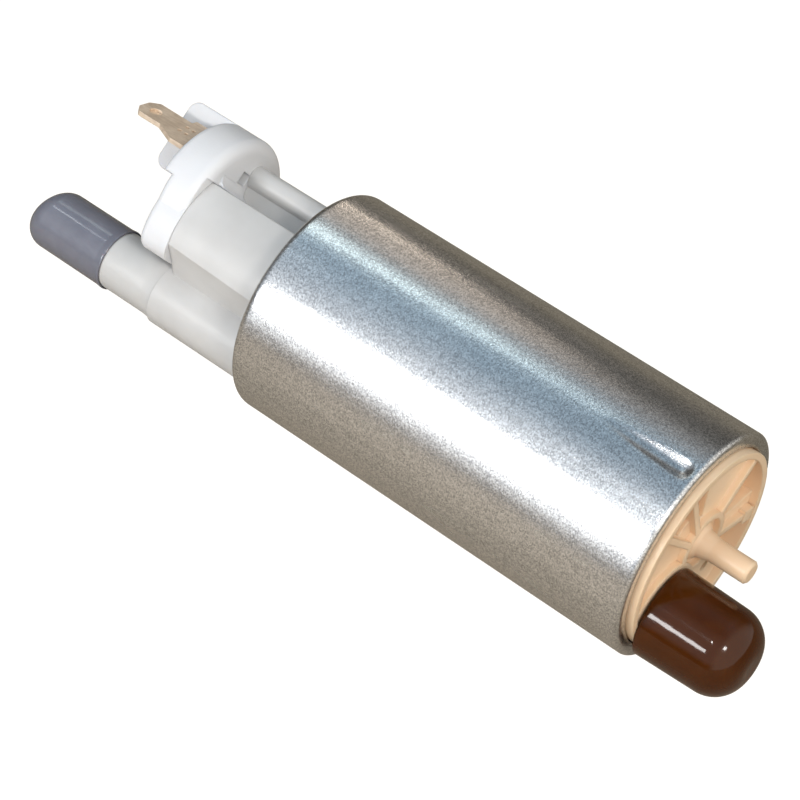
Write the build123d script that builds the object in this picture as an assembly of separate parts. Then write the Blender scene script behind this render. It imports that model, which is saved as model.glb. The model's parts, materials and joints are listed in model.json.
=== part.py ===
"""Electric fuel pump: a roller-crimped steel can with a gerotor pump, a brushed motor and two moulded ends.

Millimetres. X runs along the can from the outlet end (-X) to the inlet end (+X), and the origin is on the
can's axis, INLET_END behind the inlet lip. The pieces are drawn upright, with the outlet tube at -Y, and
then rolled about X by ROLL, because the pump lies on its side with +Z up.
"""
from build123d import *
from math import atan2, cos, degrees, radians, sin
import os

# Can
CAN_RADIUS = 19.5
CAN_LENGTH = 75.9
CAN_WALL = 1.2
SHOULDER = 1.3
LIP_ROUND = 0.7
INNER_ROUND = 0.3
OUTLET_MOUTH = 17.35
INLET_MOUTH = 17.25
INLET_END = 37.65
OUTLET_END = INLET_END - CAN_LENGTH
CAN_BORE = CAN_RADIUS - CAN_WALL
DENT_DEPTH = 0.8
DENT_PRESS_R = 2.4
DENT_END = 34.8
DENT_LENGTH = 14.0
DENT_ANGLE = 64.0
ROLL = 32.25

# Fits
FIT = 0.05
RUNNING = 0.05
PRESS = 0.01

# Outlet moulding
END_PLATE_R = CAN_BORE - 2 * FIT
PLATE_OUT = OUTLET_END + CAN_WALL
PLATE_IN = -29.8
SEAL_AT = -33.3
SEAL_R = 0.82
GROOVE_R = 16.55
TOWER_TOP = -59.2
TOWER_R = 12.6
TOWER_LEFT = (-4.76, -5.5)
TOWER_RIGHT = 7.4
FAIRING_FOOT = (-8.5, 4.74)
TUBE_OFFSET = 11.55
TUBE_R = 5.65
NECK_R = 5.15
TUBE_STEP = -60.5
NECK_END = -71.85
NIPPLE_R = 4.0
NIPPLE_END = -86.5
NIPPLE_BORE = 2.6
COLUMN_OFFSET = 11.95
COLUMN_R = 2.1
WEB = 1.6
TUBE_AT = (-TUBE_OFFSET, 0)

# Outlet cap
CAP_MOUTH = -71.55
CAP_LIP_R = 5.55
CAP_R = 5.4
CAP_TIP = -88.95
CAP_SLANT = 20.0
CAP_ROUND = 3.4

# Connector head
HEAD_TOP = -65.0
HEAD_R = 12.8
HEAD_LEFT = -7.3
HEAD_SHIFT = 4.4
HEAD_WIDE_R = 13.4
HEAD_ROUND = 1.2
PAD_TOP = -66.7
PAD_START = 5.1
SKIRT_END = -58.6
SKIRT_ROUND = 2.0
ROOT_ROUND = 1.9
ROOT_REACH = 9.4
POCKET_AT = (10.65, 3.2)
POCKET_SIZE = (2.1, 2.4)
POCKET_END = -61.4
WALL_TOP = -76.0
BLADE_WIDTH = 5.7
BLADE = 0.8
BLADE_TIP = -80.2
DETENT_R = 1.1
DETENT_AT = (-77.4, -0.2)
DETENT_DEPTH = 0.5
FOOT_OUT = -4.9
FOOT_IN = 4.1
FOOT_BASE = -62.6
SHOULDER_OUT = -70.2
SHOULDER_IN = -72.0
PUNCH_R = 0.4
PUNCH_AT = (-70.6, -0.2)
PUNCH_GRID = (1.4, 2.0)
BLADE_AT = (12.07, 6.0)
BLADE_TURN = 58.0
TAIL_AT = 3.4
TAIL_WIDTH = 1.8
TAIL_SPAN = (-0.6, 13.4)

# Brushes and chokes
BRUSH_OUT = 8.2
BRUSH = (4.8, 5.8, 11.0)
CHANNEL = (BRUSH[0] + 2 * FIT, BRUSH[1] + 2 * FIT)
BRUSH_GUIDE = -26.5
SPRING_R = 2.1
CHOKE_R = 1.7
CHOKE_AT = 2.9
CHOKE_TOP = TOWER_TOP + 1.2
CHOKE_LENGTH = 13.0

# Motor
SHAFT_R = 3.0
SHAFT_END = 29.0
SHAFT_START = -35.5
BUSH_R = 4.5
COMMUTATOR = (-24.0, -20.0, 11.8)
CORE = (-16.0, 7.0, 12.0)
SLOTS = 8
SLOT_AT = 8.3
SLOT_R = 2.3
WINDING = 3.6
MAGNET = (-18.5, 9.0, 12.6, 16.4)
MAGNET_ARC = 140.0

# Pump rotors
INNER_LOBES = 6
OUTER_LOBES = INNER_LOBES + 1
ECCENTRICITY = 1.1
LOBE_PITCH_R = 11.5
LOBE_R = 3.0
MESH_GAP = 0.04
ROOT_GAP = 0.1
OUTER_R = 14.0
ROTOR_START = 17.5
ROTOR_WIDTH = 8.5
ROTOR_END = ROTOR_START + ROTOR_WIDTH
END_GAP = 0.03
PLATE = 5.0
PORT = (8.0, 10.6)
PORT_ARC = (18.0, 162.0)
DOG_R = 6.2
DOG_WIDTH = 2.4
HUB_R = 4.6
DOG_GAP = 0.1

# Inlet cover
COVER_BACK = ROTOR_END + PLATE
RIM_TOP = 38.8
FLOOR = RIM_TOP - 1.4
RIB_TOP = RIM_TOP - 0.3
POCKET = RIM_TOP - 4.6
RIM_R = 16.96
RIM_WALL = 1.2
RIB = 1.1
PIN_OFFSET = 1.11
PIN_R = 1.93
PIN_TOP = RIM_TOP + 8.4
PIN_RING = (5.3, 4.3)
INLET_OFFSET = 10.76
INLET_R = 6.05
INLET_BORE = 4.4
INLET_BOSS_R = 8.2
INLET_TOP = RIM_TOP + 11.6
INLET_AT = (-INLET_OFFSET, 0)

# Valves
VALVE_BORE = 3.6
VALVE_SEAT = 2.2
VALVE_END = TUBE_STEP + 2
RELIEF_AT = (-1.8, -10.6)
RELIEF_BALL = 1.5
RELIEF_BORE = 1.6
RELIEF_SEAT = 1.0
SEAT_LENGTH = 2.5
RELIEF_STOP = FLOOR - 1.2
BALL_RISE = (RELIEF_BALL**2 - RELIEF_SEAT**2) ** 0.5


def polar(radius, angle):
    """Point at an angle in degrees from +Y towards +Z."""
    return radius * cos(radians(angle)), radius * sin(radians(angle))


def prism(sketch, start, end):
    """A Y-Z outline carried along X."""
    return extrude(Plane.YZ.offset(start) * sketch, end - start)


def rod(radius, start, end, at=(0, 0)):
    """Cylinder along X."""
    return prism(Pos(*at) * Circle(radius), start, end)


def tube(outer, inner, start, end, at=(0, 0)):
    """Hollow cylinder along X."""
    return prism(Pos(*at) * (Circle(outer) - Circle(inner)), start, end)


def block(width, height, start, end, at=(0, 0)):
    """Rectangular bar along X."""
    return prism(Pos(*at) * Rectangle(width, height), start, end)


def turned(points, at=(0, 0), rounds=()):
    """Polygon of (x, radius) points turned about an axis along X. Rounds are (point, radius) pairs."""
    face = make_face(Polyline(*points, close=True))
    for point, radius in rounds:
        face = fillet(face.vertices().sort_by_distance(point)[0], radius)
    return Pos(0, *at) * revolve(face, Axis.X)


def sector(inner, outer, start, end):
    """Slice of a ring between two angles."""
    middle = (start + end) / 2
    outline = [
        Line(polar(inner, start), polar(outer, start)),
        ThreePointArc(polar(outer, start), polar(outer, middle), polar(outer, end)),
        Line(polar(outer, end), polar(inner, end)),
        ThreePointArc(polar(inner, end), polar(inner, middle), polar(inner, start)),
    ]
    return make_face(outline)


def can_shell():
    """Drawn tube with a rounded outlet shoulder, a rolled inlet lip and the pressed dent near it."""
    shoulder = (OUTLET_END, CAN_RADIUS)
    lip = (INLET_END, CAN_RADIUS)
    inner_shoulder = (PLATE_OUT, CAN_BORE)
    inner_lip = (INLET_END - CAN_WALL, CAN_BORE)
    outline = [
        (OUTLET_END, OUTLET_MOUTH), shoulder, lip, (INLET_END, INLET_MOUTH),
        (INLET_END - CAN_WALL, INLET_MOUTH), inner_lip, inner_shoulder, (PLATE_OUT, OUTLET_MOUTH),
    ]
    rounds = [(shoulder, SHOULDER), (lip, LIP_ROUND)]
    rounds += [(inner_shoulder, INNER_ROUND), (inner_lip, INNER_ROUND)]
    press = Pos(-DENT_LENGTH) * Cylinder(DENT_PRESS_R, 2 * DENT_LENGTH, rotation=(0, 90, 0))
    press += Sphere(DENT_PRESS_R)
    slope = degrees(atan2(DENT_DEPTH, DENT_LENGTH))
    dent = Pos(DENT_END, 0, CAN_RADIUS + DENT_PRESS_R - DENT_DEPTH) * Rot(0, slope, 0) * press
    return turned(outline, rounds=rounds) - Rot(DENT_ANGLE - 90) * dent


def tower_body():
    """Round brush tower with a flat towards the column and a drafted cut towards the outlet tube."""
    face = Circle(TOWER_R) & Pos(TOWER_RIGHT - TOWER_R) * Rectangle(2 * TOWER_R, 2 * TOWER_R)
    tower = prism(face, TOWER_TOP, PLATE_OUT)
    tower = fillet(tower.edges().filter_by(Axis.X).group_by(Axis.Y)[-1], 0.45)
    head_end, can_end = TOWER_LEFT
    middle = Pos((TOWER_TOP + PLATE_OUT) / 2, (head_end + can_end) / 2)
    draft = degrees(atan2(can_end - head_end, PLATE_OUT - TOWER_TOP))
    return tower - middle * Rot(0, 0, draft) * Pos(0, -TOWER_R) * Box(60, 2 * TOWER_R, 2 * TOWER_R)


def fairing_outline(corner):
    """Sloped sides from the tower's corners down to the outlet tube."""
    top = (TOWER_R**2 - corner**2) ** 0.5
    points = [(corner + 1, top), (corner, top), FAIRING_FOOT, (-9.6, 0)]
    mirrored = [(y, -z) for y, z in reversed(points[:-1])]
    return make_face(Polyline(*points, *mirrored, close=True))


def tower_fairing():
    """Fairing between the tower and the outlet tube, drafted like the tower's cut."""
    ends = zip((TOWER_TOP, PLATE_OUT), TOWER_LEFT)
    return loft([Plane.YZ.offset(x) * fairing_outline(corner) for x, corner in ends], ruled=True)


def outlet_housing():
    """End plate, brush tower, web and column, outlet tube with its nipple, and the brush guides."""
    plate = rod(END_PLATE_R, PLATE_OUT + FIT, PLATE_IN)
    plate = chamfer(plate.edges().group_by(Axis.X)[0], INNER_ROUND + 2 * FIT)
    plate += rod(OUTLET_MOUTH - 0.3, OUTLET_END - 0.4, PLATE_OUT + 1)
    plate -= tube(END_PLATE_R + 1, GROOVE_R, SEAL_AT - 1, SEAL_AT + 1)
    tower = tower_body() + tower_fairing()
    web = Pos((TOWER_RIGHT + COLUMN_OFFSET) / 2) * Rectangle(COLUMN_OFFSET - TOWER_RIGHT + 1, WEB)
    column = Pos(COLUMN_OFFSET) * Circle(COLUMN_R)
    tower += prism(web + column, SKIRT_END, PLATE_OUT)
    stem = turned(
        [
            (PLATE_OUT + 1, 0), (PLATE_OUT + 1, TUBE_R), (TUBE_STEP, TUBE_R),
            (TUBE_STEP - 0.15, NECK_R + 0.2), (TUBE_STEP - 2.2, NECK_R), (NECK_END, NECK_R),
            (NECK_END, NIPPLE_R), (-76.0, NIPPLE_R),
            (-76.5, NIPPLE_R - 0.3), (-80.0, NIPPLE_R - 0.3), (-80.5, NIPPLE_R), (-84.0, NIPPLE_R),
            (NIPPLE_END, NIPPLE_R - 0.7), (NIPPLE_END, 0),
        ],
        TUBE_AT,
    )
    body = plate + tower + stem
    for side in (1, -1):
        at = (0, side * BRUSH_OUT)
        body += block(CHANNEL[0] + 2.2, CHANNEL[1] + 2.0, PLATE_IN, BRUSH_GUIDE, at)
        body -= block(*CHANNEL, TOWER_TOP, BRUSH_GUIDE, at)
        body -= rod(CHOKE_R + FIT, TOWER_TOP, CHOKE_TOP + CHOKE_LENGTH + 0.3, (0, side * CHOKE_AT))
    body -= rod(BUSH_R, PLATE_OUT, PLATE_IN) + rod(SHAFT_R + 0.4, OUTLET_END + 0.6, PLATE_OUT)
    body -= rod(VALVE_BORE, VALVE_END, PLATE_IN, TUBE_AT) + rod(NIPPLE_BORE, NIPPLE_END, VALVE_END, TUBE_AT)
    return body


def blade_outline(gap=0.0):
    """Tab terminal seen on its broad face: along X, with its wide foot and rounded tip."""
    half = BLADE_WIDTH / 2 + gap
    tip = [(BLADE_TIP + 1.3, -half), (BLADE_TIP, -1.3), (BLADE_TIP, 1.3), (BLADE_TIP + 1.3, half)]
    foot_out = [(FOOT_BASE + gap, FOOT_OUT - gap), (SHOULDER_OUT, FOOT_OUT - gap), (SHOULDER_OUT - 4, -half)]
    foot_in = [(SHOULDER_IN, half), (SHOULDER_IN, FOOT_IN + gap), (FOOT_BASE + gap, FOOT_IN + gap)]
    face = make_face(Polyline(*foot_out, *tip, *foot_in, close=True))
    return fillet(face.vertices().group_by(Axis.X)[:2], 0.8)


def place_blade(flat, side):
    """Stands a terminal in its place: side 1 faces the near wall of the head and -1 the far wall."""
    return Pos(0, BLADE_AT[0], side * BLADE_AT[1]) * Rot(-BLADE_TURN * side) * flat


def terminal_tail(side, gap=0.0):
    """Strip under the foot that runs to the middle of the tower."""
    start, end = TAIL_SPAN
    size = (BLADE + 2 * gap, end - start + 2 * gap, TAIL_WIDTH + 2 * gap)
    return Pos(FOOT_BASE - BLADE / 2, (start + end) / 2, side * TAIL_AT) * Box(*size)


def terminal(side):
    """Tab terminal with its detent, four punched holes and the tail that takes the choke lead."""
    flat = extrude(blade_outline(), BLADE / 2, both=True)
    flat -= Pos(*DETENT_AT, side * BLADE / 2) * Cylinder(DETENT_R, 2 * DETENT_DEPTH)
    flat -= Pos(*PUNCH_AT) * GridLocations(*PUNCH_GRID, 2, 2) * Cylinder(PUNCH_R, 2 * BLADE)
    return place_blade(flat, side) + terminal_tail(side)


def head_body():
    """Rounded D of the connector head, hollowed beside the outlet tube, with a soft skirt."""
    narrow = Circle(HEAD_R) & Pos(HEAD_LEFT / 2 + 2) * Rectangle(4 - HEAD_LEFT, 2 * HEAD_R)
    narrow = fillet(narrow.vertices().group_by(Axis.X)[0], 3.0)
    wide = Pos(HEAD_SHIFT) * Circle(HEAD_WIDE_R) & Pos(15) * Rectangle(30, 30)
    outline = narrow + wide - Pos(*TUBE_AT) * Circle(TUBE_R + 0.35)
    body = prism(outline, HEAD_TOP, SKIRT_END)
    tube_middle = Vector(HEAD_TOP, *TUBE_AT)
    top = [e for e in body.edges().group_by(Axis.X)[0] if (e.center() - tube_middle).length > TUBE_R + 1]
    body = fillet(top, HEAD_ROUND)
    body = fillet([e for e in body.edges().group_by(Axis.X)[-1] if e.center().Y > 6], SKIRT_ROUND)
    return body - block(TOWER_RIGHT + FIT + 30, 30, TOWER_TOP, SKIRT_END, ((TOWER_RIGHT + FIT - 30) / 2, 0))


def head_pad():
    """Raised half of the head that the terminals stand in."""
    outline = Pos(HEAD_SHIFT) * Circle(HEAD_WIDE_R) & Pos(PAD_START + 15) * Rectangle(30, 30)
    pad = prism(outline, PAD_TOP, HEAD_TOP + 2)
    top = [e for e in pad.edges().group_by(Axis.X)[0] if e.geom_type == GeomType.CIRCLE]
    return fillet(top, HEAD_ROUND)


def head_wall():
    """Dividing wall between the terminals."""
    far_end = HEAD_SHIFT + HEAD_WIDE_R
    wall = Pos((WALL_TOP + HEAD_TOP) / 2, (PAD_START + far_end) / 2) * Box(
        HEAD_TOP - WALL_TOP, far_end - PAD_START, WEB
    )
    wall = fillet(wall.edges().filter_by(Axis.Z).group_by(Axis.X)[0], 2.0)
    return fillet(wall.edges().group_by(Axis.X)[0], 0.3)


def head_root():
    """Concave round between the head's underside and the tower's flat, on both sides of the web."""
    edge = TOWER_RIGHT + FIT
    end = SKIRT_END + ROOT_ROUND
    middle = (edge + ROOT_ROUND / 2, 0)
    root = block(ROOT_ROUND, 2 * ROOT_REACH, SKIRT_END, end, middle)
    root -= Pos(end, edge + ROOT_ROUND) * Cylinder(ROOT_ROUND - 0.1, 2 * ROOT_REACH)
    return root - block(2 * ROOT_ROUND, WEB + 2 * FIT, SKIRT_END, end, middle)


def connector_head():
    """Cap of the brush tower with terminal slots, dividing wall, core-out pockets and brush spring seats."""
    head = head_body() + head_pad() + head_wall() + head_root()
    for side in (1, -1):
        head -= block(*POCKET_SIZE, POCKET_END, SKIRT_END, (POCKET_AT[0], side * POCKET_AT[1]))
    for side in (1, -1):
        head -= place_blade(extrude(blade_outline(FIT), BLADE / 2 + FIT, both=True), side)
        head -= terminal_tail(side, FIT)
        head -= block(CHANNEL[0] - 0.2, CHANNEL[1] - 0.2, TOWER_TOP - 1, TOWER_TOP, (0, side * BRUSH_OUT))
    return head - block(9.4, 8.8, FOOT_BASE, TOWER_TOP)


def choke(side):
    """Suppression coil on its ferrite rod, with the lead that runs up to the terminal's tail."""
    at = (0, side * CHOKE_AT)
    end = CHOKE_TOP + CHOKE_LENGTH
    coil = tube(CHOKE_R, 1.2, CHOKE_TOP + 1, end - 1, at)
    return coil + rod(1.2, CHOKE_TOP, end, at) + rod(0.35, FOOT_BASE, CHOKE_TOP, at)


def brush(side):
    """Carbon block on the commutator face."""
    face = COMMUTATOR[0] - 0.02
    body = block(BRUSH[0], BRUSH[1], face - BRUSH[2], face, (0, side * BRUSH_OUT))
    return chamfer(body.edges().group_by(Axis.X)[0], 0.4)


def brush_spring(side):
    """Spring from its seat in the head to the brush."""
    end = COMMUTATOR[0] - BRUSH[2] - 0.04
    return tube(SPRING_R, SPRING_R - 0.5, TOWER_TOP - 0.98, end, (0, side * BRUSH_OUT))


def armature_core():
    """Stack with teeth: round slots that open to the rim through narrow necks."""
    start, end, radius = CORE
    face = Circle(radius) - Circle(SHAFT_R + PRESS)
    for k in range(SLOTS):
        turn = Rot(0, 0, (k + 0.5) * 360 / SLOTS)
        face -= turn * (Pos(SLOT_AT) * Circle(SLOT_R) + Pos(radius - 1) * Rectangle(3, 1.3))
    return prism(face, start, end)


def armature_windings():
    """Slot fills joined by the two wound crowns."""
    start, end, _ = CORE
    crown = [(0, 4.2), (0, 10.6), (WINDING - 1.2, 10.6), (WINDING, 9.2), (WINDING, 5.0)]
    crown += [(WINDING - 0.8, 4.2)]
    body = turned([(end + x, r) for x, r in crown]) + turned([(start - x, r) for x, r in crown])
    for k in range(SLOTS):
        body += rod(SLOT_R - 0.15, start - 0.5, end + 0.5, polar(SLOT_AT, (k + 0.5) * 360 / SLOTS))
    return body


def commutator():
    """Face commutator: a disc with eight slits between its segments."""
    start, end, radius = COMMUTATOR
    disc = tube(radius, SHAFT_R + PRESS, start, end)
    for k in range(SLOTS):
        disc -= Rot(k * 360 / SLOTS) * Pos(start + 0.6, 8.2) * Box(1.2, 8.4, 0.5)
    return disc


def inner_profile():
    """Conjugate lobe form of the inner rotor, seated on the outer rotor's lobe at +Y."""
    lobe = LOBE_R + MESH_GAP
    pitch = 360 / INNER_LOBES
    points = []
    for k in range(11):
        a = radians(k * pitch / 10)
        reach = LOBE_PITCH_R / (ECCENTRICITY * OUTER_LOBES)
        lean = atan2(-sin(INNER_LOBES * a), reach - cos(INNER_LOBES * a))
        y = LOBE_PITCH_R * cos(a) - lobe * cos(a + lean) - ECCENTRICITY * cos(OUTER_LOBES * a)
        z = LOBE_PITCH_R * sin(a) - lobe * sin(a + lean) - ECCENTRICITY * sin(OUTER_LOBES * a)
        points.append((y, z))
    lobe_edge = Spline(*points, tangents=[polar(1, 90), polar(1, 90 + pitch)])
    return make_face([Rot(0, 0, k * pitch) * lobe_edge for k in range(INNER_LOBES)])


def inner_rotor():
    """Six-lobed rotor with the bore and the two slots of its drive."""
    face = inner_profile() - Circle(HUB_R + DOG_GAP)
    face -= Rectangle(2 * (DOG_R + DOG_GAP), DOG_WIDTH + 2 * DOG_GAP)
    return prism(face, ROTOR_START + END_GAP, ROTOR_END - END_GAP)


def outer_rotor():
    """Ring with seven round lobes that the inner rotor rolls round in."""
    cavity = Circle(LOBE_PITCH_R - LOBE_R + 2 * ECCENTRICITY + ROOT_GAP)
    for k in range(OUTER_LOBES):
        cavity -= Pos(*polar(LOBE_PITCH_R, k * 360 / OUTER_LOBES)) * Circle(LOBE_R)
    cavity = fillet(cavity.vertices(), 0.2)
    face = Pos(-ECCENTRICITY) * (Circle(OUTER_R) - cavity)
    return prism(face, ROTOR_START + END_GAP, ROTOR_END - END_GAP)


def cam_ring():
    """Ring whose offset bore carries the outer rotor."""
    face = Circle(END_PLATE_R) - Pos(-ECCENTRICITY) * Circle(OUTER_R + RUNNING)
    return prism(face, ROTOR_START, ROTOR_END)


def drive_coupling():
    """Keyed driver: a hub on the shaft with two dogs in the inner rotor."""
    face = Circle(HUB_R) + Rectangle(2 * DOG_R, DOG_WIDTH) - Circle(SHAFT_R + PRESS)
    return prism(face, ROTOR_START + 0.4, ROTOR_END - 0.4)


def port_slot(start, end, turn=0.0):
    """Kidney-shaped port through a plate."""
    return prism(sector(*PORT, PORT_ARC[0] + turn, PORT_ARC[1] + turn), start, end)


def delivery_plate():
    """Plate on the motor side with the delivery port and the bush seat."""
    start = ROTOR_START - PLATE
    return tube(END_PLATE_R, BUSH_R, start, ROTOR_START) - port_slot(start, ROTOR_START, 180)


def inlet_port_plate():
    """Plate on the inlet side with the suction port, the shaft's end bore and the relief bore."""
    plate = rod(END_PLATE_R, ROTOR_END, COVER_BACK)
    plate -= rod(SHAFT_R + RUNNING, ROTOR_END, SHAFT_END + 0.6)
    plate -= port_slot(ROTOR_END, COVER_BACK) + port_slot(ROTOR_END, ROTOR_END + 1, 180)
    plate -= rod(2.2, ROTOR_END, ROTOR_END + SEAT_LENGTH, RELIEF_AT)
    return plate - rod(RELIEF_BORE, ROTOR_END + SEAT_LENGTH, COVER_BACK, RELIEF_AT)


def cover_disc():
    """Dished disc of the inlet cover with its deep pockets and the ribs between them."""
    flange = rod(END_PLATE_R, COVER_BACK, INLET_END - CAN_WALL - FIT)
    flange = chamfer(flange.edges().group_by(Axis.X)[-1], 0.5)
    disc = flange + rod(RIM_R, COVER_BACK, RIM_TOP) - rod(RIM_R - RIM_WALL, FLOOR, RIM_TOP)
    for inner, start, end in ((6.4, 47, 67), (9.0, 72, 90), (8.0, -41, -5), (6.2, -88, -58)):
        disc -= prism(sector(inner, RIM_R - RIM_WALL, start, end), POCKET, RIM_TOP)
    reach = RIM_R - 0.4
    rib = Pos((FLOOR + RIB_TOP) / 2 - 0.5, reach / 2 + 2.5) * Box(RIB_TOP - FLOOR + 1, reach - 5, RIB)
    for angle in (0, 69.5, 95, -54):
        disc += Rot(angle) * rib
    return disc


def inlet_cover():
    """Ribbed end moulding with the strainer pin, the inlet tube and the relief outlet."""
    pin_at = (PIN_OFFSET, 0)
    cover = cover_disc() + tube(*PIN_RING, FLOOR - 1, RIB_TOP, pin_at)
    cover -= rod(PIN_RING[1], FLOOR, RIM_TOP, pin_at)
    cover += Rot(-54) * Pos(FLOOR + 0.5, 14.2) * Box(1.6, 2.4, 2.4)
    cover += prism((Pos(*INLET_AT) * Circle(INLET_BOSS_R)) & Circle(RIM_R), FLOOR - 1, RIB_TOP)
    cover += turned(
        [(FLOOR - 1, 0), (FLOOR - 1, 3.6), (FLOOR, 3.4), (FLOOR + 1.2, 2.4), (FLOOR + 3.2, PIN_R),
         (PIN_TOP - 0.35, PIN_R), (PIN_TOP, PIN_R - 0.35), (PIN_TOP, 0)],
        pin_at,
    )
    cover += turned(
        [
            (COVER_BACK, 0), (COVER_BACK, INLET_R), (INLET_TOP - 0.8, INLET_R),
            (INLET_TOP, INLET_R - 0.6), (INLET_TOP, 0),
        ],
        INLET_AT,
    )
    cover -= rod(INLET_BORE, COVER_BACK, INLET_TOP, INLET_AT)
    cover -= rod(RELIEF_BORE, COVER_BACK, RELIEF_STOP, RELIEF_AT)
    return cover - rod(RELIEF_BORE - 0.65, RELIEF_STOP, RIM_TOP, RELIEF_AT)


def cap(mouth, top, mouth_r, tip_r, bore, end_round, at):
    """Dipped vinyl cap with a domed end that faces the inlet: mouth and top are places along X."""
    wall = tip_r - bore
    inner_top = top - wall
    outside = turned([(mouth, 0), (mouth, mouth_r), (top, tip_r), (top, 0)], at, [((top, tip_r), end_round)])
    corner = (inner_top, bore)
    inside = turned([(mouth, 0), (mouth, bore), corner, (inner_top, 0)], at, [(corner, end_round - wall)])
    return outside - inside


def outlet_cap():
    """Grey cap on the outlet nipple, with a rolled lip round the neck's end and a slightly slanted tip."""
    lip = (CAP_MOUTH, CAP_LIP_R)
    blank_end = CAP_TIP - 4
    points = [(CAP_MOUTH, 0), lip, (CAP_MOUTH - 1.4, CAP_R), (blank_end, CAP_R), (blank_end, 0)]
    outside = turned(points, TUBE_AT, [(lip, 0.3)])
    outside -= Pos(CAP_TIP, -TUBE_OFFSET) * Rot(0, 0, -CAP_SLANT) * Pos(-CAP_R) * Box(2 * CAP_R, 20, 20)
    outside = fillet(outside.edges().group_by(Axis.X)[0], CAP_ROUND)
    bore = NIPPLE_R + FIT
    mouth = NECK_END - 0.25
    inner_top = CAP_TIP + CAP_R - bore
    points = [(CAP_MOUTH, 0), (CAP_MOUTH, NECK_R + 0.15), (mouth, NECK_R + 0.15), (mouth, bore)]
    inside = turned([*points, (inner_top, bore), (inner_top, 0)], TUBE_AT, [((inner_top, bore), 2.5)])
    return outside - inside


def inlet_cap():
    """Brown cap on the inlet tube."""
    return cap(RIM_TOP + 0.1, RIM_TOP + 16.15, 7.55, 7.15, INLET_R + FIT, 5.5, INLET_AT)


def check_poppet():
    """Cone that closes the seat at PLATE_OUT, with the stem that carries its spring."""
    profile = [(0.9, 0), (0.9, 1.3), (-1.0, 3.1), (-3.5, 3.1), (-3.5, 1.5), (-9.5, 1.3), (-9.5, 0)]
    return turned([(PLATE_OUT + x, r) for x, r in profile], TUBE_AT)


def relief_ball():
    """Ball on its seat."""
    return Pos(ROTOR_END + SEAT_LENGTH + BALL_RISE + 0.01, *RELIEF_AT) * Sphere(RELIEF_BALL)


def magnet(side):
    """Arc magnet glued to the flux ring."""
    start, end, inner, outer = MAGNET
    middle = 90 * side
    return prism(sector(inner, outer, middle - MAGNET_ARC / 2, middle + MAGNET_ARC / 2), start, end)


def magnet_clip():
    """Spring clip that holds the magnets apart on the tube's side."""
    start, end, inner, outer = MAGNET
    half = (180 - MAGNET_ARC) / 2 - 0.6
    face = sector(outer - 0.7, outer, 180 - half, 180 + half)
    for side in (1, -1):
        edge = 180 + side * half
        face += sector(inner + 0.4, outer, min(edge, edge - 2.6 * side), max(edge, edge - 2.6 * side))
    return prism(face, start + 3, end - 3)


def build():
    """Every node in the upright drawing position."""
    flux = (CAN_BORE - FIT, MAGNET[3] + PRESS)
    bush = (BUSH_R - FIT, SHAFT_R + RUNNING)
    ball_top = ROTOR_END + SEAT_LENGTH + BALL_RISE + RELIEF_BALL
    return {
        "can_shell": can_shell(),
        "outlet_housing": outlet_housing(),
        "connector_head": connector_head(),
        "terminal_near": terminal(1),
        "terminal_far": terminal(-1),
        "inlet_cover": inlet_cover(),
        "outlet_cap": outlet_cap(),
        "inlet_cap": inlet_cap(),
        "inlet_port_plate": inlet_port_plate(),
        "cam_ring": cam_ring(),
        "inner_rotor": inner_rotor(),
        "outer_rotor": outer_rotor(),
        "delivery_plate": delivery_plate(),
        "drive_coupling": drive_coupling(),
        "armature_shaft": rod(SHAFT_R, SHAFT_START, SHAFT_END),
        "armature_core": armature_core(),
        "armature_windings": armature_windings(),
        "commutator": commutator(),
        "flux_ring": tube(*flux, PLATE_IN + FIT, ROTOR_START - PLATE - FIT),
        "magnet_near": magnet(1),
        "magnet_far": magnet(-1),
        "magnet_clip": magnet_clip(),
        "shaft_bush_delivery": tube(*bush, ROTOR_START - PLATE, ROTOR_START),
        "shaft_bush_outlet": tube(*bush, PLATE_OUT + FIT, PLATE_IN),
        "thrust_washer": tube(4.1, SHAFT_R + RUNNING, PLATE_IN + FIT, PLATE_IN + 0.85),
        "brush_near": brush(1),
        "brush_far": brush(-1),
        "brush_spring_near": brush_spring(1),
        "brush_spring_far": brush_spring(-1),
        "choke_near": choke(1),
        "choke_far": choke(-1),
        "check_seat": tube(VALVE_BORE - FIT, VALVE_SEAT, PLATE_OUT, PLATE_IN, TUBE_AT),
        "check_poppet": check_poppet(),
        "check_spring": tube(2.3, 1.8, VALVE_END + FIT, PLATE_OUT - 3.5 - FIT, TUBE_AT),
        "relief_seat": tube(2.15, RELIEF_SEAT, ROTOR_END, ROTOR_END + SEAT_LENGTH, RELIEF_AT),
        "relief_ball": relief_ball(),
        "relief_spring": tube(1.3, 0.9, ball_top + 0.02, RELIEF_STOP - FIT, RELIEF_AT),
        "can_seal": Pos(SEAL_AT) * revolve(Pos(0, GROOVE_R + SEAL_R + 0.03) * Circle(SEAL_R), Axis.X),
    }


os.makedirs("parts", exist_ok=True)
for name, shape in build().items():
    export_step(Rot(ROLL) * shape, f"parts/{name}.step")
    print(name, "volume", round(shape.volume))
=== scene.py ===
"""Looks of the electric fuel pump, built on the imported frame. Lengths are in metres."""

import bpy
import json
from math import cos, pi, sin
from mathutils import Matrix, Vector


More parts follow.
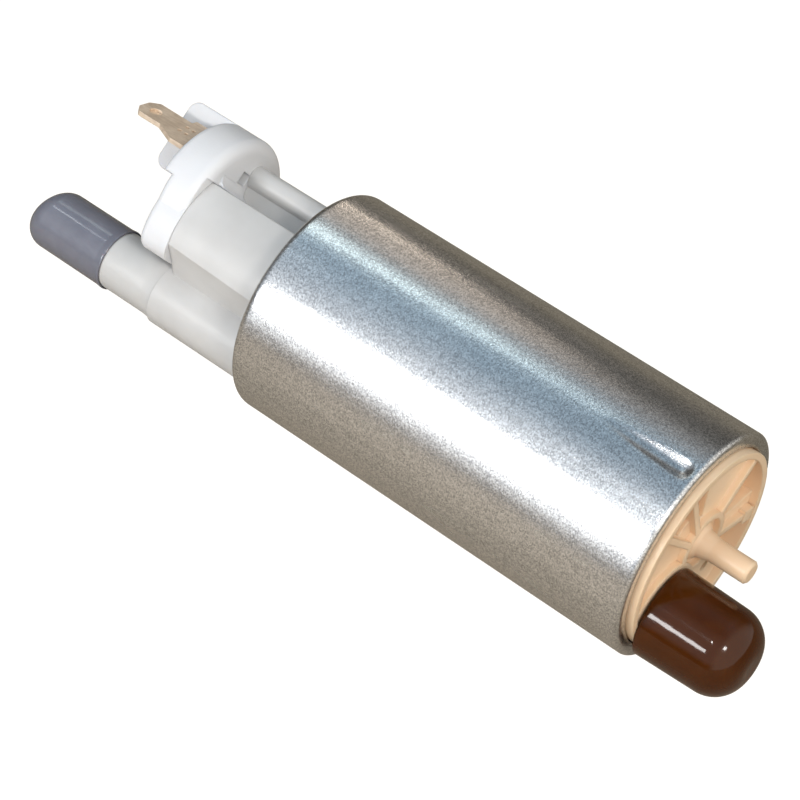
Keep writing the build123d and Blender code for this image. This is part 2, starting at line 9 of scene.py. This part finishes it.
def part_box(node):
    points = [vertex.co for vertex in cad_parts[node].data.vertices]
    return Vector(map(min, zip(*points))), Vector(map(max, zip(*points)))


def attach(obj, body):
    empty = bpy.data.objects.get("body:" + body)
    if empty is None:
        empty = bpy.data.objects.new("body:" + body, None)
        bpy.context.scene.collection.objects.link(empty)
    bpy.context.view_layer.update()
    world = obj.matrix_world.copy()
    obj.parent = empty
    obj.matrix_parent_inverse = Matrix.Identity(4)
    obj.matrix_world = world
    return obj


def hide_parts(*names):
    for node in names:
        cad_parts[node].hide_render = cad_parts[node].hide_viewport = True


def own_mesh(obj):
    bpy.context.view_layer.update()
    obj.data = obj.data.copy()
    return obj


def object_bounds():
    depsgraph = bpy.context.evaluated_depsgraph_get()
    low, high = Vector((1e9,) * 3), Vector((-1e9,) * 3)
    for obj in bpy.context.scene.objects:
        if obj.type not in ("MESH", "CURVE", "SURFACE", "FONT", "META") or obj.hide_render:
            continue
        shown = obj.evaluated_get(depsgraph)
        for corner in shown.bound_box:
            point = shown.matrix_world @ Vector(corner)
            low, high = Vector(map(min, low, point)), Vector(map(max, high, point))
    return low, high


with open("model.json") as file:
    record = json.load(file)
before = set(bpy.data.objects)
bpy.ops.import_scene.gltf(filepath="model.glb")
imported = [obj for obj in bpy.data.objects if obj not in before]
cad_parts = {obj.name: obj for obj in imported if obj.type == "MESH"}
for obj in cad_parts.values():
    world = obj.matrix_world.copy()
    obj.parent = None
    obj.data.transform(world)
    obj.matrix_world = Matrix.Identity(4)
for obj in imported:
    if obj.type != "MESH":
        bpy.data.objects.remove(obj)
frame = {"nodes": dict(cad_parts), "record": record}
nodes = frame["nodes"]
cad_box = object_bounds()
MM = 0.001

# Camera: place, directions, focal length and film width in millimetres
EYE = Vector((0.14825, -0.2022, 0.32048))
RIGHT = Vector((0.7696, 0.6386, 0.0))
UP = Vector((-0.5003, 0.6030, 0.6213))
FOCAL_LENGTH = 118.1
FILM_WIDTH = 36
NEAREST_VIEW = 0.01

# Can: its radius, and how fine each pattern is, per millimetre along, round and out
CAN_RADIUS = 19.5 * MM
GRAIN_FINE = (3.2, 2.8, 3.2)
SPANGLE_FINE = (5.4, 5.4, 5.4)
CLOUD_FINE = (0.06, 0.14, 0.1)
DRAWN_FINE = (0.03, 2.2, 1.0)

# Coil springs
WIRE_SIDES = 10
STEPS_PER_TURN = 20
CLOSED_TURNS = 0.7
COILS = (
    # node, joint, turns, radius of the wire, end that stays, travel
    ("check_spring", "check_valve_lift", 9, 0.25 * MM, "low", 2 * MM),
    ("relief_spring", "relief_valve_lift", 6, 0.2 * MM, "high", 0.8 * MM),
    ("brush_spring_near", "brush_near_slide", 12, 0.25 * MM, "low", 3 * MM),
    ("brush_spring_far", "brush_far_slide", 12, 0.25 * MM, "low", 3 * MM),
)

# Floor: its size, its colours at the near and far side, its share of them past the outlet, where both
# change along Y and X, and the shares of white that it shows to the camera and to glossy rays
FLOOR_SIZE = 12
FLOOR_NEAR = (0.42, 0.36, 0.29, 1)
# Painted shade: the darker far colour and the darker share past the outlet stand in for shade on the floor
FLOOR_FAR_SHADE = (0.225, 0.19, 0.14, 1)
FLOOR_SHADE_PAST_OUTLET = 0.75
FLOOR_EDGE_Y = (-0.07, 0.015)
FLOOR_EDGE_X = (-0.13, -0.05)
FLOOR_GLOW = 0.93
FLOOR_MIRRORED = 0.02
WHITE = (1, 1, 1, 1)

# Studio walls: strength, and colours by the height of a direction
WALL_STRENGTH = 0.88
WALL_COLORS = (
    (0.0, (0.27, 0.245, 0.215, 1)),
    (0.07, (0.22, 0.20, 0.175, 1)),
    (0.16, (0.145, 0.135, 0.12, 1)),
    (0.25, (0.13, 0.125, 0.115, 1)),
    (0.46, (0.16, 0.155, 0.145, 1)),
    (0.55, (0.25, 0.25, 0.245, 1)),
    (0.64, (0.35, 0.355, 0.36, 1)),
    (0.76, (0.42, 0.465, 0.51, 1)),
    (0.82, (0.40, 0.56, 0.71, 1)),
    (0.93, (0.37, 0.505, 0.635, 1)),
    (1.0, (0.27, 0.375, 0.475, 1)),
)

# Sides of the studio: where a direction's x, y or z enters each, and its colour or its share of the light
BAND_START_X = (-0.38, -0.27)
BAND_END_X = (-0.15, 0.0)
BAND_SHARE = 0.72
NEAR_Y = (0.0, -0.47)
NEAR_Z = (0.12, 0.3)
NEAR_COLOR = (0.74, 0.82, 0.92, 1)
OUTLET_X = (-0.66, -0.50)
OUTLET_SHARE = 0.55
INLET_X = (0.2, 0.6)
INLET_COLOR = (1.30, 1.26, 1.20, 1)

LAMPS = (
    # name, place, size, radiance, colour
    # White band of the can and streak of the brown cap, with a dim panel that softens the band's edges
    ("key", (-0.21, -0.53, 0.378), (0.28, 0.10), 24.0, (1.0, 0.99, 0.98)),
    ("panel", (-0.247, -0.58, 0.28), (0.24, 0.50), 0.55, (1.0, 0.98, 0.97)),
    # Light on the cover and from above
    ("fill", (0.42, -0.22, 0.52), (0.10, 0.10), 36.0, (1.0, 0.98, 0.95)),
    # Highlights of the brown cap and the grey cap
    ("spark", (-0.04, -0.28, 0.54), (0.03, 0.03), 60.0, (1.0, 0.98, 0.95)),
    ("glint", (-0.405, -0.01, 0.52), (0.03, 0.05), 7.0, (0.93, 0.97, 1.0)),
    # Cool streak of the can
    ("strip", (-0.375, 0.308, 0.581), (0.26, 0.11), 1.6, (0.85, 1.0, 1.0)),
    # Warm bands of the can's far side
    ("card", (-0.131, 0.196, 0.136), (0.105, 0.11), 0.4, (1.0, 0.84, 0.70)),
    ("card_edge", (-0.15, 0.223, 0.0775), (0.06, 0.012), 3.2, (1.0, 0.85, 0.70)),
)


def add_camera():
    """Camera at the photograph's place."""
    camera = bpy.data.objects.new("camera", bpy.data.cameras.new("camera"))
    camera.data.lens = FOCAL_LENGTH
    camera.data.sensor_width = FILM_WIDTH
    camera.data.clip_start = NEAREST_VIEW
    turn = Matrix((RIGHT, UP, RIGHT.cross(UP))).transposed()
    camera.matrix_world = Matrix.Translation(EYE) @ turn.to_4x4()
    bpy.context.scene.collection.objects.link(camera)
    bpy.context.scene.camera = camera


class Graph:
    """Short calls for a node tree."""

    def __init__(self, tree):
        self.tree = tree
        self.nodes = tree.nodes

    def add(self, kind, **settings):
        """New node; settings that name an input set it, and the others are properties."""
        node = self.nodes.new(kind)
        for name, value in settings.items():
            label = name.replace("_", " ")
            if label in node.inputs:
                self.feed(value, node.inputs[label])
            else:
                setattr(node, name, value)
        return node

    def feed(self, value, socket):
        """Links a socket, or sets a plain value."""
        if isinstance(value, bpy.types.NodeSocket):
            self.tree.links.new(value, socket)
        else:
            socket.default_value = value

    def math(self, operation, a, b=0.0):
        """Result of one operation on one or two values."""
        node = self.nodes.new("ShaderNodeMath")
        node.operation = operation
        self.feed(a, node.inputs[0])
        self.feed(b, node.inputs[1])
        return node.outputs[0]

    def weighted(self, *parts):
        """Sum of values, each times its weight."""
        products = [self.math("MULTIPLY", value, weight) for value, weight in parts]
        total = products[0]
        for product in products[1:]:
            total = self.math("ADD", total, product)
        return total

    def blend(self, share, low, high):
        """Colour between two colours."""
        node = self.nodes.new("ShaderNodeMix")
        node.data_type = "RGBA"
        self.feed(share, node.inputs[0])
        self.feed(low, node.inputs[6])
        self.feed(high, node.inputs[7])
        return node.outputs[2]

    def scaled(self, color, share):
        """Colour times a share."""
        node = self.nodes.new("ShaderNodeVectorMath")
        node.operation = "SCALE"
        self.feed(color, node.inputs[0])
        self.feed(share, node.inputs["Scale"])
        return node.outputs[0]

    def span(self, value, low, high, to_low=0.0, to_high=1.0):
        """Maps low..high onto to_low..to_high, and holds the ends."""
        node = self.add("ShaderNodeMapRange", From_Min=low, From_Max=high)
        self.feed(to_low, node.inputs["To Min"])
        self.feed(to_high, node.inputs["To Max"])
        self.feed(value, node.inputs[0])
        return node.outputs[0]

    def noise(self, vector, scale, detail=2.0, roughness=0.5):
        """Noise value about 0.5."""
        node = self.add("ShaderNodeTexNoise", Scale=scale, Detail=detail, Roughness=roughness)
        self.feed(vector, node.inputs["Vector"])
        return node.outputs[0]

    def stretch(self, vector, x, y, z):
        """Vector with each part multiplied."""
        node = self.nodes.new("ShaderNodeVectorMath")
        node.operation = "MULTIPLY"
        self.feed(vector, node.inputs[0])
        node.inputs[1].default_value = (x, y, z)
        return node.outputs[0]

    def bump(self, height, distance, normal=None):
        """Normal roughened by a height."""
        node = self.add("ShaderNodeBump", Strength=1.0, Distance=distance)
        self.feed(height, node.inputs["Height"])
        if normal is not None:
            self.feed(normal, node.inputs["Normal"])
        return node.outputs[0]

    def coordinates(self, kind):
        """The x, y and z of a kind of texture coordinate."""
        split = self.add("ShaderNodeSeparateXYZ")
        self.feed(self.add("ShaderNodeTexCoord").outputs[kind], split.inputs[0])
        return split.outputs

    def seen(self):
        """1 for rays from the camera and through clear surfaces, and 0 for others."""
        rays = self.add("ShaderNodeLightPath").outputs
        return self.math("MAXIMUM", rays["Is Camera Ray"], rays["Is Transmission Ray"])


class Finish(Graph):
    """One material round a Principled shader."""

    def __init__(self, name, **inputs):
        self.material = bpy.data.materials.new(name)
        self.material.use_nodes = True
        super().__init__(self.material.node_tree)
        self.shader = self.nodes["Principled BSDF"]
        self.place = self.add("ShaderNodeTexCoord").outputs["Object"]
        for label, value in inputs.items():
            self.set(label.replace("_", " "), value)

    def set(self, label, value):
        """Sets or links one input of the shader."""
        self.feed(value, self.shader.inputs[label])

    def paint(self, value, start, end, low, high):
        """Base colour that goes from low to high while a value goes from start to end."""
        self.set("Base Color", self.blend(self.span(value, start, end), (*low, 1), (*high, 1)))

    def gloss(self, value, start, end, low, high):
        """Roughness that goes from low to high while a value goes from start to end."""
        self.set("Roughness", self.span(value, start, end, low, high))

    def unrolled(self, radius):
        """Place on a surface of revolution about X, in millimetres: along, round and out."""
        split = self.add("ShaderNodeSeparateXYZ")
        self.feed(self.place, split.inputs[0])
        x, y, z = split.outputs
        angle = self.math("ARCTAN2", self.math("MULTIPLY", y, -1.0), z)
        squares = self.math("ADD", self.math("POWER", y, 2.0), self.math("POWER", z, 2.0))
        join = self.nodes.new("ShaderNodeCombineXYZ")
        self.feed(self.math("MULTIPLY", x, 1 / MM), join.inputs[0])
        self.feed(self.math("MULTIPLY", angle, radius / MM), join.inputs[1])
        self.feed(self.math("MULTIPLY", self.math("SQRT", squares), 1 / MM), join.inputs[2])
        return join.outputs[0]

    def soft_edges(self, radius):
        """Normal that rounds sharp edges by a radius."""
        return self.add("ShaderNodeBevel", samples=6, Radius=radius).outputs[0]


def can_steel():
    """Zinc-plated drawn steel: spangle, grain and draw lines along X in its colour, clouds in its gloss."""
    look = Finish("can_steel", Metallic=1.0)
    flat = look.unrolled(CAN_RADIUS)
    grain = look.noise(look.stretch(flat, *GRAIN_FINE), scale=1.0, detail=1.5)
    cells = look.add("ShaderNodeTexVoronoi", Scale=1.0)
    look.feed(look.stretch(flat, *SPANGLE_FINE), cells.inputs["Vector"])
    spangle = cells.outputs["Color"]
    cloud = look.noise(look.stretch(flat, *CLOUD_FINE), scale=1.0, detail=3.0, roughness=0.55)
    drawn = look.noise(look.stretch(flat, *DRAWN_FINE), scale=1.0)
    tone = look.weighted((spangle, 0.55), (grain, 0.25), (drawn, 0.2))
    look.paint(tone, 0.25, 0.75, (0.42, 0.42, 0.42), (1.0, 0.995, 0.985))
    look.gloss(cloud, 0.3, 0.7, 0.23, 0.28)
    normal = look.bump(cloud, 0.06 * MM, look.soft_edges(1.0 * MM))
    look.set("Normal", look.bump(grain, 0.019 * MM, normal))
    return look.material


def acetal(name, low, high, roughness, edge=0.22):
    """Moulded acetal: a little light passes under the skin, and the edges are rounded, in millimetres."""
    look = Finish(name, Subsurface_Weight=0.22, Subsurface_Scale=1.2 * MM)
    look.set("Subsurface Radius", (1.0, 0.85, 0.7))
    cloud = look.noise(look.place, scale=90.0, detail=3.0, roughness=0.55)
    grain = look.noise(look.place, scale=2600.0, roughness=0.6)
    ripple = look.noise(look.stretch(look.place, 1.0, 2.0, 2.0), scale=420.0)
    look.paint(cloud, 0.3, 0.7, low, high)
    look.gloss(grain, 0.25, 0.75, roughness - 0.05, roughness + 0.06)
    normal = look.bump(ripple, 0.03 * MM, look.soft_edges(edge * MM))
    look.set("Normal", look.bump(grain, 0.006 * MM, normal))
    return look.material


def vinyl(name, low, high, roughness, shine, coat):
    """Dipped vinyl: glossy, with the slow waves that dipping leaves."""
    look = Finish(name, Specular_IOR_Level=shine, Coat_Weight=coat, Coat_Roughness=0.08)
    look.set("Subsurface Weight", 0.05)
    look.set("Subsurface Scale", 0.6 * MM)
    wave = look.noise(look.stretch(look.place, 1.0, 1.6, 1.6), scale=170.0)
    grain = look.noise(look.place, scale=1900.0, roughness=0.6)
    cloud = look.noise(look.place, scale=260.0, detail=3.0, roughness=0.6)
    look.paint(cloud, 0.3, 0.7, low, high)
    look.gloss(grain, 0.3, 0.7, roughness - 0.04, roughness + 0.05)
    normal = look.bump(wave, 0.08 * MM, look.soft_edges(0.3 * MM))
    look.set("Normal", look.bump(grain, 0.005 * MM, normal))
    look.set("Coat Normal", look.bump(wave, 0.05 * MM))
    return look.material


def metal(name, low, high, roughness, grain_stretch=(1.0, 1.0, 1.0), depth=0.01, spread=0.1):
    """Bare metal with tarnish in clouds, and a grain that may be stretched, its depth in millimetres."""
    look = Finish(name, Metallic=1.0)
    cloud = look.noise(look.place, scale=240.0, detail=4.0, roughness=0.6)
    grain = look.noise(look.stretch(look.place, *grain_stretch), scale=2400.0, roughness=0.6)
    look.paint(cloud, 0.3, 0.7, low, high)
    look.gloss(cloud, 0.25, 0.75, roughness - spread, roughness + spread)
    look.set("Normal", look.bump(grain, depth * MM, look.soft_edges(0.08 * MM)))
    return look.material


def tinned(name, low, high, roughness):
    """Dull tin plating over brass: half scattered and half mirrored light, with fine lines along X."""
    look = Finish(name, Metallic=0.45, Specular_IOR_Level=0.8)
    cloud = look.noise(look.place, scale=420.0, detail=4.0, roughness=0.65)
    lines = look.noise(look.stretch(look.place, 0.12, 1.0, 1.0), scale=3000.0, roughness=0.6)
    look.paint(look.weighted((cloud, 0.6), (lines, 0.4)), 0.32, 0.68, low, high)
    look.gloss(cloud, 0.25, 0.75, roughness - 0.1, roughness + 0.1)
    look.set("Normal", look.bump(lines, 0.012 * MM, look.soft_edges(0.1 * MM)))
    return look.material


def dull(name, low, high, roughness, scale=1400.0, depth=0.03):
    """Grainy unpolished solid, such as carbon, ferrite or rubber, its grain's depth in millimetres."""
    look = Finish(name)
    grain = look.noise(look.place, scale, detail=3.0, roughness=0.65)
    look.paint(grain, 0.3, 0.7, low, high)
    look.gloss(grain, 0.25, 0.75, roughness - 0.08, roughness + 0.08)
    look.set("Normal", look.bump(grain, depth * MM, look.soft_edges(0.12 * MM)))
    return look.material


def laminations(name, low, high, roughness):
    """Stack of thin sheets across X, under varnish."""
    look = Finish(name, Metallic=0.9, Coat_Weight=0.3, Coat_Roughness=0.2)
    wave = look.add("ShaderNodeTexWave", wave_type="BANDS", bands_direction="X", Scale=320.0)
    look.feed(look.place, wave.inputs["Vector"])
    look.paint(wave.outputs[1], 0.0, 1.0, low, high)
    look.gloss(look.noise(look.place, scale=300.0), 0.3, 0.7, roughness - 0.08, roughness + 0.08)
    look.set("Normal", look.bump(wave.outputs[1], 0.05 * MM))
    return look.material


def wound_copper(name, low, high):
    """Close turns of enamelled wire."""
    look = Finish(name, Metallic=1.0, Coat_Weight=0.5, Coat_Roughness=0.1)
    wave = look.add("ShaderNodeTexWave", wave_type="RINGS", rings_direction="X", Scale=360.0, Distortion=0.6)
    look.feed(look.place, wave.inputs["Vector"])
    cloud = look.noise(look.place, scale=220.0, detail=3.0, roughness=0.6)
    shade = look.math("MULTIPLY", wave.outputs[1], look.span(cloud, 0.2, 0.8, 0.7, 1.0))
    look.paint(shade, 0.0, 1.0, low, high)
    look.gloss(cloud, 0.3, 0.7, 0.22, 0.34)
    look.set("Normal", look.bump(wave.outputs[1], 0.09 * MM))
    return look.material


SLOTS = {
    # slot: kind, low and high colour, other values
    "housing_acetal": (acetal, (0.545, 0.535, 0.52), (0.615, 0.605, 0.59), dict(roughness=0.40)),
    "head_acetal": (acetal, (0.71, 0.71, 0.72), (0.76, 0.76, 0.77), dict(roughness=0.42, edge=0.4)),
    "terminal_metal": (tinned, (0.66, 0.51, 0.37), (0.96, 0.80, 0.63), dict(roughness=0.45)),
    "cover_acetal": (acetal, (0.83, 0.595, 0.385), (0.90, 0.675, 0.455), dict(roughness=0.34, edge=0.4)),
    "cap_grey": (
        vinyl, (0.158, 0.161, 0.196), (0.186, 0.189, 0.224), dict(roughness=0.17, shine=0.4, coat=0.5)),
    "cap_brown": (
        vinyl, (0.050, 0.0115, 0.0002), (0.062, 0.015, 0.0004),
        dict(roughness=0.12, shine=0.08, coat=0.5)),
    "pump_plate": (metal, (0.34, 0.34, 0.34), (0.48, 0.48, 0.47), dict(roughness=0.42, depth=0.02)),
    "rotor_steel": (
        metal, (0.36, 0.36, 0.37), (0.50, 0.50, 0.51), dict(roughness=0.34, grain_stretch=(0.2, 1, 1))),
    "coupling_plastic": (
        dull, (0.018, 0.018, 0.02), (0.03, 0.03, 0.032), dict(roughness=0.45, scale=1100.0, depth=0.015)),
    "shaft_steel": (
        metal, (0.62, 0.62, 0.63), (0.72, 0.72, 0.73),
        dict(roughness=0.18, grain_stretch=(1, 0.2, 0.2), depth=0.004, spread=0.05)),
    "core_steel": (laminations, (0.16, 0.16, 0.17), (0.34, 0.34, 0.36), dict(roughness=0.42)),
    "winding_copper": (wound_copper, (0.18, 0.05, 0.015), (0.66, 0.27, 0.10), {}),
    "commutator_copper": (
        metal, (0.52, 0.24, 0.12), (0.72, 0.38, 0.20), dict(roughness=0.30, grain_stretch=(1, 0.3, 0.3))),
    "magnet_ferrite": (
        dull, (0.018, 0.018, 0.02), (0.035, 0.035, 0.037), dict(roughness=0.6, scale=900.0, depth=0.05)),
    "bush_bronze": (metal, (0.42, 0.26, 0.11), (0.58, 0.38, 0.17), dict(roughness=0.46, depth=0.03)),
    "brush_carbon": (dull, (0.012, 0.012, 0.012), (0.028, 0.028, 0.028), dict(roughness=0.55)),
    "spring_steel": (
        metal, (0.50, 0.50, 0.51), (0.62, 0.62, 0.62), dict(roughness=0.24, depth=0.004, spread=0.06)),
    "choke_copper": (wound_copper, (0.16, 0.045, 0.014), (0.60, 0.24, 0.09), {}),
    "valve_plastic": (acetal, (0.66, 0.65, 0.60), (0.74, 0.73, 0.68), dict(roughness=0.38)),
    "seal_rubber": (
        dull, (0.010, 0.010, 0.010), (0.02, 0.02, 0.02), dict(roughness=0.5, scale=1600.0, depth=0.012)),
}


def finishes():
    """Material of every slot in the record."""
    looks = {"can_steel": can_steel()}
    for slot, (kind, low, high, values) in SLOTS.items():
        looks[slot] = kind(slot, low, high, **values)
    return looks


def dress_nodes(looks):
    """Gives each node of the frame the material of its slot."""
    for part in frame["record"]["subparts"]:
        node = nodes[part["node"]]
        node.data.materials.clear()
        node.data.materials.append(looks[part["material_slot"]])


def swept(name, path, radius):
    """Round wire along a path of points, closed at both ends."""
    verts = []
    faces = []
    side = Vector((1, 0, 0))
    for k, point in enumerate(path):
        ahead = path[min(k + 1, len(path) - 1)]
        behind = path[max(k - 1, 0)]
        along = (ahead - behind).normalized()
        side = (side - along * side.dot(along)).normalized()
        other = along.cross(side)
        for j in range(WIRE_SIDES):
            turn = 2 * pi * j / WIRE_SIDES
            verts.append(point + (side * cos(turn) + other * sin(turn)) * radius)
    for k in range(len(path) - 1):
        for j in range(WIRE_SIDES):
            a = k * WIRE_SIDES + j
            b = k * WIRE_SIDES + (j + 1) % WIRE_SIDES
            faces.append((a, b, b + WIRE_SIDES, a + WIRE_SIDES))
    faces.append(tuple(range(WIRE_SIDES - 1, -1, -1)))
    faces.append(tuple(range(len(verts) - WIRE_SIDES, len(verts))))
    mesh = bpy.data.meshes.new(name)
    mesh.from_pydata(verts, [], faces)
    mesh.shade_smooth()
    piece = bpy.data.objects.new(name, mesh)
    bpy.context.scene.collection.objects.link(piece)
    return piece


def coil_path(low, high, turns, wire):
    """Middle line of a compression spring that fills a box, with its last turns closed."""
    middle = (low + high) / 2
    radius = (high.y - low.y) / 2 - wire
    closed_rise = 2 * wire
    open_rise = high.x - low.x - 2 * wire - 2 * closed_rise
    closed = CLOSED_TURNS / turns
    steps = STEPS_PER_TURN * turns
    path = []
    for k in range(steps + 1):
        share = k / steps
        first = min(share / closed, 1)
        last = 1 - min((1 - share) / closed, 1)
        opened = min(max((share - closed) / (1 - 2 * closed), 0.0), 1.0)
        x = low.x + wire + closed_rise * (first + last) + open_rise * opened
        turn = 2 * pi * turns * share
        path.append(Vector((x, middle.y + radius * cos(turn), middle.z + radius * sin(turn))))
    return path


def spring(node, joint, turns, wire, fixed_end, travel, look):
    """Coil spring in the place of a node."""
    low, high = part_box(node)
    piece = swept(node + "_coil", coil_path(low, high, turns, wire), wire)
    piece.data.materials.append(look)
    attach(piece, "pump_body")
    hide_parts(node)
    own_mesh(piece)


def stage_floor():
    """Floor that is white to the camera and keeps the shadow; its colour carries painted shade, darker on
    the far side (+Y) and past the outlet (-X).
    """
    bpy.ops.mesh.primitive_plane_add(size=FLOOR_SIZE, location=(0, 0, cad_box[0].z))
    floor = bpy.context.object
    floor.name = "floor"
    material = bpy.data.materials.new("floor")
    material.use_nodes = True
    graph = Graph(material.node_tree)
    graph.nodes.clear()
    glossy = graph.add("ShaderNodeLightPath").outputs["Is Glossy Ray"]
    glow = graph.weighted((graph.seen(), FLOOR_GLOW), (glossy, FLOOR_MIRRORED))
    x, y = graph.coordinates("Object")[:2]
    # Painted shade: the floor's colour gets darker towards +Y and past the outlet towards -X
    shade = graph.blend(graph.span(y, *FLOOR_EDGE_Y), FLOOR_NEAR, FLOOR_FAR_SHADE)
    shade_past_outlet = graph.span(x, *FLOOR_EDGE_X, FLOOR_SHADE_PAST_OUTLET, 1.0)
    paper = graph.add("ShaderNodeBsdfDiffuse", Color=graph.scaled(shade, shade_past_outlet))
    light = graph.add("ShaderNodeEmission", Color=WHITE, Strength=glow)
    both = graph.add("ShaderNodeAddShader")
    graph.feed(paper.outputs[0], both.inputs[0])
    graph.feed(light.outputs[0], both.inputs[1])
    output = graph.add("ShaderNodeOutputMaterial")
    graph.feed(both.outputs[0], output.inputs[0])
    floor.data.materials.append(material)


def height_ramp(graph, height):
    """Wall colour by the height of a direction."""
    ramp = graph.nodes.new("ShaderNodeValToRGB")
    for place, color in WALL_COLORS[1:-1]:
        ramp.color_ramp.elements.new(place)
    for element, (place, color) in zip(ramp.color_ramp.elements, WALL_COLORS):
        element.position = place
        element.color = color
    graph.feed(height, ramp.inputs[0])
    return ramp.outputs[0]


def studio_walls():
    """Soft surroundings, white to the camera.

    They are warm and dark low down and cool high up, with a dimmer band across the ceiling, a pale side
    at -Y, a dim side at -X and a brighter, pale side at +X.
    """
    world = bpy.data.worlds.new("studio")
    world.use_nodes = True
    bpy.context.scene.world = world
    graph = Graph(world.node_tree)
    graph.nodes.clear()
    x, y, z = graph.coordinates("Generated")
    band_start = graph.span(x, *BAND_START_X, 1.0, BAND_SHARE)
    band_end = graph.span(x, *BAND_END_X, BAND_SHARE, 1.0)
    ceiling = graph.scaled(height_ramp(graph, z), graph.math("MAXIMUM", band_start, band_end))
    towards_near = graph.math("MULTIPLY", graph.span(y, *NEAR_Y), graph.span(z, *NEAR_Z))
    near_side = graph.blend(towards_near, ceiling, NEAR_COLOR)
    outlet_side = graph.scaled(near_side, graph.span(x, *OUTLET_X, OUTLET_SHARE, 1.0))
    towards_inlet = graph.add("ShaderNodeMapRange", From_Min=INLET_X[0], From_Max=INLET_X[1])
    towards_inlet.interpolation_type = "SMOOTHSTEP"
    graph.feed(x, towards_inlet.inputs[0])
    all_sides = graph.blend(towards_inlet.outputs[0], outlet_side, INLET_COLOR)
    walls = graph.add("ShaderNodeBackground", Color=all_sides, Strength=WALL_STRENGTH)
    white = graph.add("ShaderNodeBackground", Color=WHITE, Strength=1.0)
    mix = graph.add("ShaderNodeMixShader")
    graph.feed(graph.seen(), mix.inputs[0])
    graph.feed(walls.outputs[0], mix.inputs[1])
    graph.feed(white.outputs[0], mix.inputs[2])
    output = graph.add("ShaderNodeOutputWorld")
    graph.feed(mix.outputs[0], output.inputs[0])


def softbox(name, place, size, radiance, color):
    """Rectangular lamp that faces the origin; its width lies along X as far as it can."""
    lamp = bpy.data.lights.new(name, "AREA")
    lamp.shape = "RECTANGLE"
    lamp.size, lamp.size_y = size
    lamp.energy = radiance * pi * size[0] * size[1]
    lamp.color = color
    box = bpy.data.objects.new(name, lamp)
    back = Vector(place).normalized()
    across = (Vector((1, 0, 0)) - back * back.x).normalized()
    turn = Matrix((across, back.cross(across), back)).transposed()
    box.matrix_world = Matrix.Translation(place) @ turn.to_4x4()
    bpy.context.scene.collection.objects.link(box)


add_camera()
looks = finishes()
dress_nodes(looks)
for coil in COILS:
    spring(*coil, looks["spring_steel"])
stage_floor()
studio_walls()
for lamp in LAMPS:
    softbox(*lamp)
bpy.context.scene.view_settings.view_transform = "Standard"
